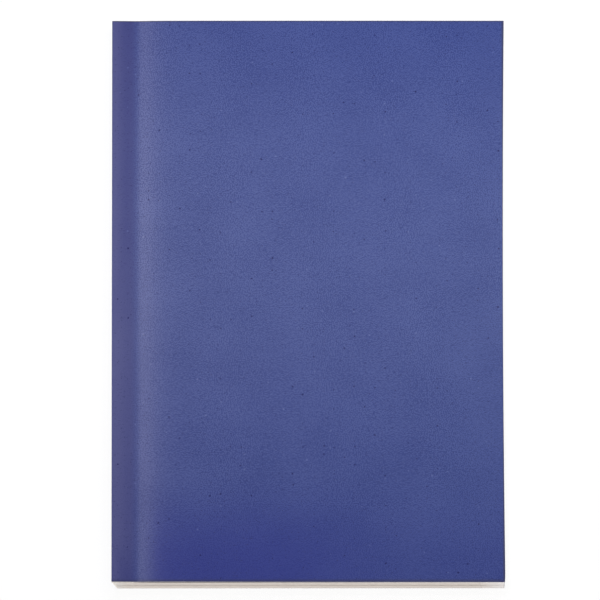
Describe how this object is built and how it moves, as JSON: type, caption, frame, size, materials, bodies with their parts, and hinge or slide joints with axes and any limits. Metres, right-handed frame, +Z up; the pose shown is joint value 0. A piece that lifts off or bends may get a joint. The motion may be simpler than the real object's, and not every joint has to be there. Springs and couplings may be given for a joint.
{
  "type": "perfect bound notebook",
  "caption": "Portrait softcover notebook: a scored card cover wraps a thin block of plain leaves glued at the spine; both covers and the leaves turn on gutter hinges.",
  "frame": {"origin": "middle of the book's footprint, on the surface that the back cover lies on", "axes": "+Z up out of the front cover, +Y towards the head, -X towards the spine"},
  "size_m": [0.1523, 0.2286, 0.0085],
  "materials": {
    "cover_card": "satin",
    "leaf_paper": "matte",
    "binding_glue": "satin"
  },
  "bodies": {
    "binding": {"cover_spine": "cover_card", "spine_glue": "binding_glue", "front_side_glue": "binding_glue", "back_side_glue": "binding_glue", "bound_edge": "leaf_paper"},
    "front_cover": {"front_cover": "cover_card"},
    "back_cover": {"back_cover": "cover_card"},
    "leaf_01": {"leaf_01": "leaf_paper"},
    "leaf_02": {"leaf_02": "leaf_paper"},
    "leaf_03": {"leaf_03": "leaf_paper"},
    "leaf_04": {"leaf_04": "leaf_paper"},
    "leaf_05": {"leaf_05": "leaf_paper"},
    "leaf_06": {"leaf_06": "leaf_paper"},
    "leaf_07": {"leaf_07": "leaf_paper"},
    "leaf_08": {"leaf_08": "leaf_paper"},
    "leaf_09": {"leaf_09": "leaf_paper"},
    "leaf_10": {"leaf_10": "leaf_paper"},
    "leaf_11": {"leaf_11": "leaf_paper"},
    "leaf_12": {"leaf_12": "leaf_paper"},
    "leaf_13": {"leaf_13": "leaf_paper"},
    "leaf_14": {"leaf_14": "leaf_paper"},
    "leaf_15": {"leaf_15": "leaf_paper"},
    "leaf_16": {"leaf_16": "leaf_paper"},
    "leaf_17": {"leaf_17": "leaf_paper"},
    "leaf_18": {"leaf_18": "leaf_paper"},
    "leaf_19": {"leaf_19": "leaf_paper"},
    "leaf_20": {"leaf_20": "leaf_paper"},
    "leaf_21": {"leaf_21": "leaf_paper"},
    "leaf_22": {"leaf_22": "leaf_paper"},
    "leaf_23": {"leaf_23": "leaf_paper"},
    "leaf_24": {"leaf_24": "leaf_paper"},
    "leaf_25": {"leaf_25": "leaf_paper"},
    "leaf_26": {"leaf_26": "leaf_paper"},
    "leaf_27": {"leaf_27": "leaf_paper"},
    "leaf_28": {"leaf_28": "leaf_paper"},
    "leaf_29": {"leaf_29": "leaf_paper"},
    "leaf_30": {"leaf_30": "leaf_paper"},
    "leaf_31": {"leaf_31": "leaf_paper"},
    "leaf_32": {"leaf_32": "leaf_paper"},
    "leaf_33": {"leaf_33": "leaf_paper"},
    "leaf_34": {"leaf_34": "leaf_paper"},
    "leaf_35": {"leaf_35": "leaf_paper"},
    "leaf_36": {"leaf_36": "leaf_paper"},
    "leaf_37": {"leaf_37": "leaf_paper"},
    "leaf_38": {"leaf_38": "leaf_paper"},
    "leaf_39": {"leaf_39": "leaf_paper"},
    "leaf_40": {"leaf_40": "leaf_paper"},
    "leaf_41": {"leaf_41": "leaf_paper"},
    "leaf_42": {"leaf_42": "leaf_paper"},
    "leaf_43": {"leaf_43": "leaf_paper"},
    "leaf_44": {"leaf_44": "leaf_paper"},
    "leaf_45": {"leaf_45": "leaf_paper"},
    "leaf_46": {"leaf_46": "leaf_paper"},
    "leaf_47": {"leaf_47": "leaf_paper"},
    "leaf_48": {"leaf_48": "leaf_paper"}
  },
  "joints": [
    {"name": "front_cover_hinge", "type": "hinge", "parent": "binding", "child": "front_cover", "pos_m": [-0.0666, 0, 0.00812], "axis": [0, -1, 0], "range_deg": [0, 170]},
    {"name": "back_cover_hinge", "type": "hinge", "parent": "binding", "child": "back_cover", "pos_m": [-0.0645, 0, 0], "axis": [0, 1, 0], "range_deg": [0, 170]},
    {"name": "leaf_01_turn", "type": "hinge", "parent": "binding", "child": "leaf_01", "pos_m": [-0.0651, 0, 0.00777], "axis": [0, -1, 0], "range_deg": [0, 144]},
    {"name": "leaf_02_turn", "type": "hinge", "parent": "binding", "child": "leaf_02", "pos_m": [-0.06462, 0, 0.00762], "axis": [0, -1, 0], "range_deg": [0, 141]},
    {"name": "leaf_03_turn", "type": "hinge", "parent": "binding", "child": "leaf_03", "pos_m": [-0.06419, 0, 0.00747], "axis": [0, -1, 0], "range_deg": [0, 138]},
    {"name": "leaf_04_turn", "type": "hinge", "parent": "binding", "child": "leaf_04", "pos_m": [-0.06379, 0, 0.00731], "axis": [0, -1, 0], "range_deg": [0, 135]},
    {"name": "leaf_05_turn", "type": "hinge", "parent": "binding", "child": "leaf_05", "pos_m": [-0.06341, 0, 0.00715], "axis": [0, -1, 0], "range_deg": [0, 132]},
    {"name": "leaf_06_turn", "type": "hinge", "parent": "binding", "child": "leaf_06", "pos_m": [-0.06307, 0, 0.007], "axis": [0, -1, 0], "range_deg": [0, 129]},
    {"name": "leaf_07_turn", "type": "hinge", "parent": "binding", "child": "leaf_07", "pos_m": [-0.06274, 0, 0.00685], "axis": [0, -1, 0], "range_deg": [0, 126]},
    {"name": "leaf_08_turn", "type": "hinge", "parent": "binding", "child": "leaf_08", "pos_m": [-0.06244, 0, 0.00669], "axis": [0, -1, 0], "range_deg": [0, 123]},
    {"name": "leaf_09_turn", "type": "hinge", "parent": "binding", "child": "leaf_09", "pos_m": [-0.06216, 0, 0.00654], "axis": [0, -1, 0], "range_deg": [0, 120]},
    {"name": "leaf_10_turn", "type": "hinge", "parent": "binding", "child": "leaf_10", "pos_m": [-0.06189, 0, 0.00638], "axis": [0, -1, 0], "range_deg": [0, 117]},
    {"name": "leaf_11_turn", "type": "hinge", "parent": "binding", "child": "leaf_11", "pos_m": [-0.06164, 0, 0.00622], "axis": [0, -1, 0], "range_deg": [0, 114]},
    {"name": "leaf_12_turn", "type": "hinge", "parent": "binding", "child": "leaf_12", "pos_m": [-0.0614, 0, 0.00607], "axis": [0, -1, 0], "range_deg": [0, 111]},
    {"name": "leaf_13_turn", "type": "hinge", "parent": "binding", "child": "leaf_13", "pos_m": [-0.06117, 0, 0.00592], "axis": [0, -1, 0], "range_deg": [0, 108]},
    {"name": "leaf_14_turn", "type": "hinge", "parent": "binding", "child": "leaf_14", "pos_m": [-0.06096, 0, 0.00576], "axis": [0, -1, 0], "range_deg": [0, 105]},
    {"name": "leaf_15_turn", "type": "hinge", "parent": "binding", "child": "leaf_15", "pos_m": [-0.06076, 0, 0.0056], "axis": [0, -1, 0], "range_deg": [0, 102]},
    {"name": "leaf_16_turn", "type": "hinge", "parent": "binding", "child": "leaf_16", "pos_m": [-0.06057, 0, 0.00545], "axis": [0, -1, 0], "range_deg": [0, 99]},
    {"name": "leaf_17_turn", "type": "hinge", "parent": "binding", "child": "leaf_17", "pos_m": [-0.06039, 0, 0.0053], "axis": [0, -1, 0], "range_deg": [0, 96]},
    {"name": "leaf_18_turn", "type": "hinge", "parent": "binding", "child": "leaf_18", "pos_m": [-0.06022, 0, 0.00514], "axis": [0, -1, 0], "range_deg": [0, 93]},
    {"name": "leaf_19_turn", "type": "hinge", "parent": "binding", "child": "leaf_19", "pos_m": [-0.06006, 0, 0.00498], "axis": [0, -1, 0], "range_deg": [0, 90]},
    {"name": "leaf_20_turn", "type": "hinge", "parent": "binding", "child": "leaf_20", "pos_m": [-0.0599, 0, 0.00483], "axis": [0, -1, 0], "range_deg": [0, 87]},
    {"name": "leaf_21_turn", "type": "hinge", "parent": "binding", "child": "leaf_21", "pos_m": [-0.05976, 0, 0.00468], "axis": [0, -1, 0], "range_deg": [0, 84]},
    {"name": "leaf_22_turn", "type": "hinge", "parent": "binding", "child": "leaf_22", "pos_m": [-0.05962, 0, 0.00452], "axis": [0, -1, 0], "range_deg": [0, 81]},
    {"name": "leaf_23_turn", "type": "hinge", "parent": "binding", "child": "leaf_23", "pos_m": [-0.05949, 0, 0.00436], "axis": [0, -1, 0], "range_deg": [0, 78]},
    {"name": "leaf_24_turn", "type": "hinge", "parent": "binding", "child": "leaf_24", "pos_m": [-0.05936, 0, 0.00421], "axis": [0, -1, 0], "range_deg": [0, 75]},
    {"name": "leaf_25_turn", "type": "hinge", "parent": "binding", "child": "leaf_25", "pos_m": [-0.05924, 0, 0.00405], "axis": [0, -1, 0], "range_deg": [0, 72]},
    {"name": "leaf_26_turn", "type": "hinge", "parent": "binding", "child": "leaf_26", "pos_m": [-0.05913, 0, 0.0039], "axis": [0, -1, 0], "range_deg": [0, 69]},
    {"name": "leaf_27_turn", "type": "hinge", "parent": "binding", "child": "leaf_27", "pos_m": [-0.05903, 0, 0.00375], "axis": [0, -1, 0], "range_deg": [0, 66]},
    {"name": "leaf_28_turn", "type": "hinge", "parent": "binding", "child": "leaf_28", "pos_m": [-0.05893, 0, 0.00359], "axis": [0, -1, 0], "range_deg": [0, 63]},
    {"name": "leaf_29_turn", "type": "hinge", "parent": "binding", "child": "leaf_29", "pos_m": [-0.05883, 0, 0.00344], "axis": [0, -1, 0], "range_deg": [0, 60]},
    {"name": "leaf_30_turn", "type": "hinge", "parent": "binding", "child": "leaf_30", "pos_m": [-0.05875, 0, 0.00328], "axis": [0, -1, 0], "range_deg": [0, 57]},
    {"name": "leaf_31_turn", "type": "hinge", "parent": "binding", "child": "leaf_31", "pos_m": [-0.05866, 0, 0.00313], "axis": [0, -1, 0], "range_deg": [0, 54]},
    {"name": "leaf_32_turn", "type": "hinge", "parent": "binding", "child": "leaf_32", "pos_m": [-0.05859, 0, 0.00297], "axis": [0, -1, 0], "range_deg": [0, 51]},
    {"name": "leaf_33_turn", "type": "hinge", "parent": "binding", "child": "leaf_33", "pos_m": [-0.05851, 0, 0.00281], "axis": [0, -1, 0], "range_deg": [0, 48]},
    {"name": "leaf_34_turn", "type": "hinge", "parent": "binding", "child": "leaf_34", "pos_m": [-0.05844, 0, 0.00266], "axis": [0, -1, 0], "range_deg": [0, 45]},
    {"name": "leaf_35_turn", "type": "hinge", "parent": "binding", "child": "leaf_35", "pos_m": [-0.05838, 0, 0.0025], "axis": [0, -1, 0], "range_deg": [0, 42]},
    {"name": "leaf_36_turn", "type": "hinge", "parent": "binding", "child": "leaf_36", "pos_m": [-0.05832, 0, 0.00235], "axis": [0, -1, 0], "range_deg": [0, 39]},
    {"name": "leaf_37_turn", "type": "hinge", "parent": "binding", "child": "leaf_37", "pos_m": [-0.05827, 0, 0.00219], "axis": [0, -1, 0], "range_deg": [0, 36]},
    {"name": "leaf_38_turn", "type": "hinge", "parent": "binding", "child": "leaf_38", "pos_m": [-0.05822, 0, 0.00204], "axis": [0, -1, 0], "range_deg": [0, 33]},
    {"name": "leaf_39_turn", "type": "hinge", "parent": "binding", "child": "leaf_39", "pos_m": [-0.05818, 0, 0.00188], "axis": [0, -1, 0], "range_deg": [0, 30]},
    {"name": "leaf_40_turn", "type": "hinge", "parent": "binding", "child": "leaf_40", "pos_m": [-0.05814, 0, 0.00173], "axis": [0, -1, 0], "range_deg": [0, 27]},
    {"name": "leaf_41_turn", "type": "hinge", "parent": "binding", "child": "leaf_41", "pos_m": [-0.0581, 0, 0.00158], "axis": [0, -1, 0], "range_deg": [0, 24]},
    {"name": "leaf_42_turn", "type": "hinge", "parent": "binding", "child": "leaf_42", "pos_m": [-0.05807, 0, 0.00142], "axis": [0, -1, 0], "range_deg": [0, 21]},
    {"name": "leaf_43_turn", "type": "hinge", "parent": "binding", "child": "leaf_43", "pos_m": [-0.05805, 0, 0.00127], "axis": [0, -1, 0], "range_deg": [0, 18]},
    {"name": "leaf_44_turn", "type": "hinge", "parent": "binding", "child": "leaf_44", "pos_m": [-0.05803, 0, 0.00111], "axis": [0, -1, 0], "range_deg": [0, 15]},
    {"name": "leaf_45_turn", "type": "hinge", "parent": "binding", "child": "leaf_45", "pos_m": [-0.05801, 0, 0.00096], "axis": [0, -1, 0], "range_deg": [0, 12]},
    {"name": "leaf_46_turn", "type": "hinge", "parent": "binding", "child": "leaf_46", "pos_m": [-0.058, 0, 0.0008], "axis": [0, -1, 0], "range_deg": [0, 9]},
    {"name": "leaf_47_turn", "type": "hinge", "parent": "binding", "child": "leaf_47", "pos_m": [-0.05799, 0, 0.00064], "axis": [0, -1, 0], "range_deg": [0, 6]},
    {"name": "leaf_48_turn", "type": "hinge", "parent": "binding", "child": "leaf_48", "pos_m": [-0.05799, 0, 0.00049], "axis": [0, -1, 0], "range_deg": [0, 3]}
  ],
  "couplings": [
    {"joint": "leaf_01_turn", "follows": "front_cover_hinge", "ratio": 0.84706},
    {"joint": "leaf_02_turn", "follows": "front_cover_hinge", "ratio": 0.82941},
    {"joint": "leaf_03_turn", "follows": "front_cover_hinge", "ratio": 0.81176},
    {"joint": "leaf_04_turn", "follows": "front_cover_hinge", "ratio": 0.79412},
    {"joint": "leaf_05_turn", "follows": "front_cover_hinge", "ratio": 0.77647},
    {"joint": "leaf_06_turn", "follows": "front_cover_hinge", "ratio": 0.75882},
    {"joint": "leaf_07_turn", "follows": "front_cover_hinge", "ratio": 0.74118},
    {"joint": "leaf_08_turn", "follows": "front_cover_hinge", "ratio": 0.72353},
    {"joint": "leaf_09_turn", "follows": "front_cover_hinge", "ratio": 0.70588},
    {"joint": "leaf_10_turn", "follows": "front_cover_hinge", "ratio": 0.68824},
    {"joint": "leaf_11_turn", "follows": "front_cover_hinge", "ratio": 0.67059},
    {"joint": "leaf_12_turn", "follows": "front_cover_hinge", "ratio": 0.65294},
    {"joint": "leaf_13_turn", "follows": "front_cover_hinge", "ratio": 0.63529},
    {"joint": "leaf_14_turn", "follows": "front_cover_hinge", "ratio": 0.61765},
    {"joint": "leaf_15_turn", "follows": "front_cover_hinge", "ratio": 0.6},
    {"joint": "leaf_16_turn", "follows": "front_cover_hinge", "ratio": 0.58235},
    {"joint": "leaf_17_turn", "follows": "front_cover_hinge", "ratio": 0.56471},
    {"joint": "leaf_18_turn", "follows": "front_cover_hinge", "ratio": 0.54706},
    {"joint": "leaf_19_turn", "follows": "front_cover_hinge", "ratio": 0.52941},
    {"joint": "leaf_20_turn", "follows": "front_cover_hinge", "ratio": 0.51176},
    {"joint": "leaf_21_turn", "follows": "front_cover_hinge", "ratio": 0.49412},
    {"joint": "leaf_22_turn", "follows": "front_cover_hinge", "ratio": 0.47647},
    {"joint": "leaf_23_turn", "follows": "front_cover_hinge", "ratio": 0.45882},
    {"joint": "leaf_24_turn", "follows": "front_cover_hinge", "ratio": 0.44118},
    {"joint": "leaf_25_turn", "follows": "front_cover_hinge", "ratio": 0.42353},
    {"joint": "leaf_26_turn", "follows": "front_cover_hinge", "ratio": 0.40588},
    {"joint": "leaf_27_turn", "follows": "front_cover_hinge", "ratio": 0.38824},
    {"joint": "leaf_28_turn", "follows": "front_cover_hinge", "ratio": 0.37059},
    {"joint": "leaf_29_turn", "follows": "front_cover_hinge", "ratio": 0.35294},
    {"joint": "leaf_30_turn", "follows": "front_cover_hinge", "ratio": 0.33529},
    {"joint": "leaf_31_turn", "follows": "front_cover_hinge", "ratio": 0.31765},
    {"joint": "leaf_32_turn", "follows": "front_cover_hinge", "ratio": 0.3},
    {"joint": "leaf_33_turn", "follows": "front_cover_hinge", "ratio": 0.28235},
    {"joint": "leaf_34_turn", "follows": "front_cover_hinge", "ratio": 0.26471},
    {"joint": "leaf_35_turn", "follows": "front_cover_hinge", "ratio": 0.24706},
    {"joint": "leaf_36_turn", "follows": "front_cover_hinge", "ratio": 0.22941},
    {"joint": "leaf_37_turn", "follows": "front_cover_hinge", "ratio": 0.21176},
    {"joint": "leaf_38_turn", "follows": "front_cover_hinge", "ratio": 0.19412},
    {"joint": "leaf_39_turn", "follows": "front_cover_hinge", "ratio": 0.17647},
    {"joint": "leaf_40_turn", "follows": "front_cover_hinge", "ratio": 0.15882},
    {"joint": "leaf_41_turn", "follows": "front_cover_hinge", "ratio": 0.14118},
    {"joint": "leaf_42_turn", "follows": "front_cover_hinge", "ratio": 0.12353},
    {"joint": "leaf_43_turn", "follows": "front_cover_hinge", "ratio": 0.10588},
    {"joint": "leaf_44_turn", "follows": "front_cover_hinge", "ratio": 0.088235},
    {"joint": "leaf_45_turn", "follows": "front_cover_hinge", "ratio": 0.070588},
    {"joint": "leaf_46_turn", "follows": "front_cover_hinge", "ratio": 0.052941},
    {"joint": "leaf_47_turn", "follows": "front_cover_hinge", "ratio": 0.035294},
    {"joint": "leaf_48_turn", "follows": "front_cover_hinge", "ratio": 0.017647}
  ]
}
